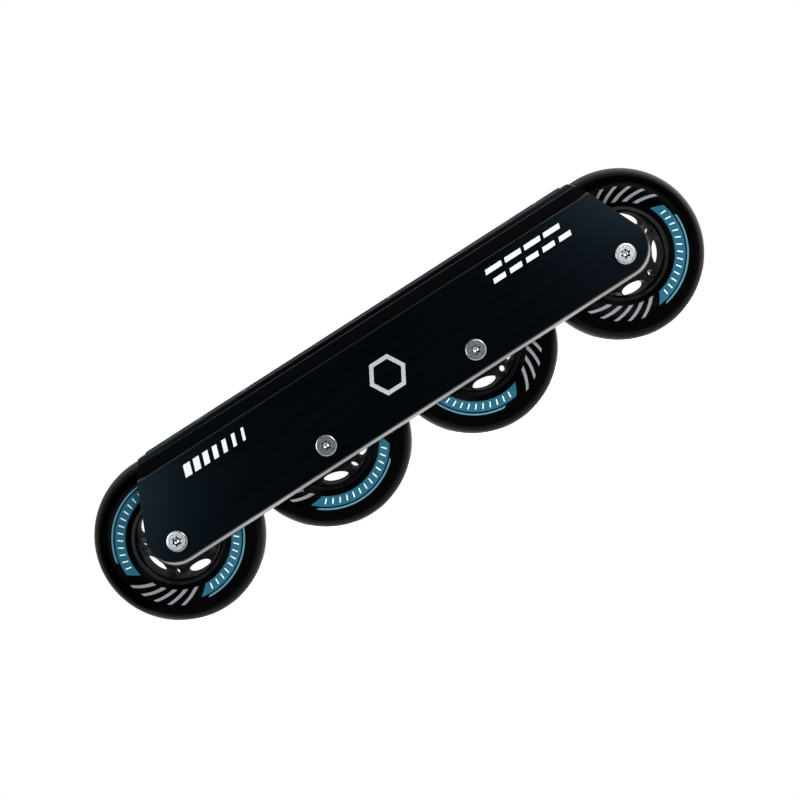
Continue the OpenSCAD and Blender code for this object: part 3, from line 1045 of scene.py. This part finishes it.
def studio_world(settings):
    """A room that is plain white to the camera.

    What mirrors it sees a bright band round the far wall, dimmer sides, a dark wall behind the camera and
    more light towards the toe.
    """
    world = bpy.data.worlds.new("studio")
    world.use_nodes = True
    tree = world.node_tree
    shine = tree.nodes["Background"]
    ray = add_node(tree, "ShaderNodeLightPath").outputs["Is Camera Ray"]
    way = add_node(tree, "ShaderNodeTexCoord").outputs["Generated"]
    parts = add_node(tree, "ShaderNodeSeparateXYZ", {0: way}).outputs
    share = add_node(tree, "ShaderNodeMapRange", {"Value": parts["Y"], "From Min": -1.0}).outputs[0]
    ramp = add_node(tree, "ShaderNodeValToRGB", {0: share})
    # From the camera's side to the far side: how far across, and how bright
    stops = (
        (0.0, 0.01),
        (0.2, 0.01),
        (0.3, 0.2),
        (0.5, 0.22),
        (0.75, 1.0),
        (0.9, 1.0),
        (0.96, 0.05),
        (1.0, 0.03),
    )
    for place, _ in stops[1:-1]:
        ramp.color_ramp.elements.new(place)
    for stop, (place, bright) in zip(ramp.color_ramp.elements, stops):
        stop.position = place
        stop.color = (bright, bright, bright, 1.0)
    heel, toe = 0.4 * settings.dome, 2.2 * settings.dome
    side = add_node(
        tree, "ShaderNodeMapRange", {"Value": parts["X"], "From Min": -1.0, "To Min": heel, "To Max": toe}
    ).outputs[0]
    wall = calc(tree, "MULTIPLY", ramp.outputs[0], side)
    seen = add_node(tree, "ShaderNodeMix", {0: ray, 2: wall, 3: 1.0}, data_type="FLOAT").outputs[0]
    shine.inputs["Color"].default_value = (1.0, 1.0, 1.0, 1.0)
    tree.links.new(seen, shine.inputs["Strength"])
    return world


class SKATE_OT_stage(Operator):
    """Set the camera, the pale floor and the soft studio light"""

    bl_idname = "skate.stage"
    bl_label = "Set Stage"

    def execute(self, context):
        settings = context.scene.skate_stage
        scene = context.scene
        scene.view_settings.view_transform = "Standard"
        scene.world = studio_world(settings)

        floor = bpy.data.meshes.new("floor")
        shell = bmesh.new()
        bmesh.ops.create_circle(shell, cap_ends=True, radius=0.5, segments=96)
        bmesh.ops.scale(shell, vec=(settings.floor_length, settings.floor_width, 1), verts=shell.verts)
        bmesh.ops.translate(shell, vec=(settings.floor_shift, 0, FLOOR_Z), verts=shell.verts)
        shell.to_mesh(floor)
        shell.free()
        floor.materials.append(backlit_acrylic(settings))
        board = bpy.data.objects.new("floor", floor)
        scene.collection.objects.link(board)

        # Name, side, colour and share of the power, and where a box stands in metres
        boxes = (("heel_box", -1, "#EEFAFF", 1.05), ("toe_box", 1, "#FBF8FF", 1.35))
        aside, back, up = 0.47, -0.95, 0.12
        for name, side, colour, share in boxes:
            lamp = bpy.data.lights.new(name, "AREA")
            lamp.energy = settings.box_power * share
            lamp.color = linear(colour)[:3]
            lamp.size = settings.box_size
            holder = bpy.data.objects.new(name, lamp)
            spot = Vector((side * aside, back, up))
            aim = Vector((0, 0, AXLES["wheel_1"].z)) - spot
            holder.matrix_world = Matrix.Translation(spot) @ aim.to_track_quat("-Z", "Y").to_matrix().to_4x4()
            scene.collection.objects.link(holder)

        camera = bpy.data.cameras.new("camera")
        camera.lens = settings.lens
        eye = Vector((4.0 * MM, -790.5 * MM, 17.5 * MM))
        target = Vector((-0.93 * MM, -HEAD_Y, AXLES["wheel_1"].z - 0.68 * MM))
        level = (target - eye).to_track_quat("-Z", "Y").to_matrix()
        roll = Matrix.Rotation(-settings.roll, 3, "Z")
        holder = bpy.data.objects.new("camera", camera)
        holder.matrix_world = Matrix.Translation(eye) @ (level @ roll).to_4x4()
        scene.collection.objects.link(holder)
        scene.camera = holder
        return {"FINISHED"}


STEPS = (
    SKATE_OT_stage,
    SKATE_OT_chassis,
    SKATE_OT_chassis_marks,
    SKATE_OT_tyres,
    SKATE_OT_tyre_prints,
    SKATE_OT_hubs,
    SKATE_OT_axles,
    SKATE_OT_bearings,
)
GROUPS = {
    "skate_chassis": SKATE_PG_chassis,
    "skate_tyre": SKATE_PG_tyre,
    "skate_print": SKATE_PG_print,
    "skate_hub": SKATE_PG_hub,
    "skate_axle": SKATE_PG_axle,
    "skate_bearing": SKATE_PG_bearing,
    "skate_stage": SKATE_PG_stage,
}


class SKATE_PT_panel(Panel):
    """Lists the steps that dress the skate frame, with their sizes and colours"""

    bl_idname = "SKATE_PT_panel"
    bl_label = "Skate Frame"
    bl_space_type = "VIEW_3D"
    bl_region_type = "UI"
    bl_category = "Skate Frame"

    def draw(self, context):
        for step in STEPS:
            self.layout.operator(step.bl_idname)
        for attribute, group in GROUPS.items():
            box = self.layout.box()
            for name in group.__annotations__:
                box.prop(getattr(context.scene, attribute), name)


CLASSES = (*GROUPS.values(), *STEPS, SKATE_PT_panel)


def register():
    for kind in CLASSES:
        bpy.utils.register_class(kind)
    for attribute, group in GROUPS.items():
        setattr(bpy.types.Scene, attribute, PointerProperty(type=group))


def unregister():
    for attribute in GROUPS:
        delattr(bpy.types.Scene, attribute)
    for kind in reversed(CLASSES):
        bpy.utils.unregister_class(kind)


def main():
    register()
    bpy.ops.skate.stage()
    bpy.ops.skate.chassis()
    bpy.ops.skate.chassis_marks()
    bpy.ops.skate.tyres()
    bpy.ops.skate.tyre_prints()
    bpy.ops.skate.hubs()
    bpy.ops.skate.axles()
    bpy.ops.skate.bearings()


if __name__ == "__main__":
    main()
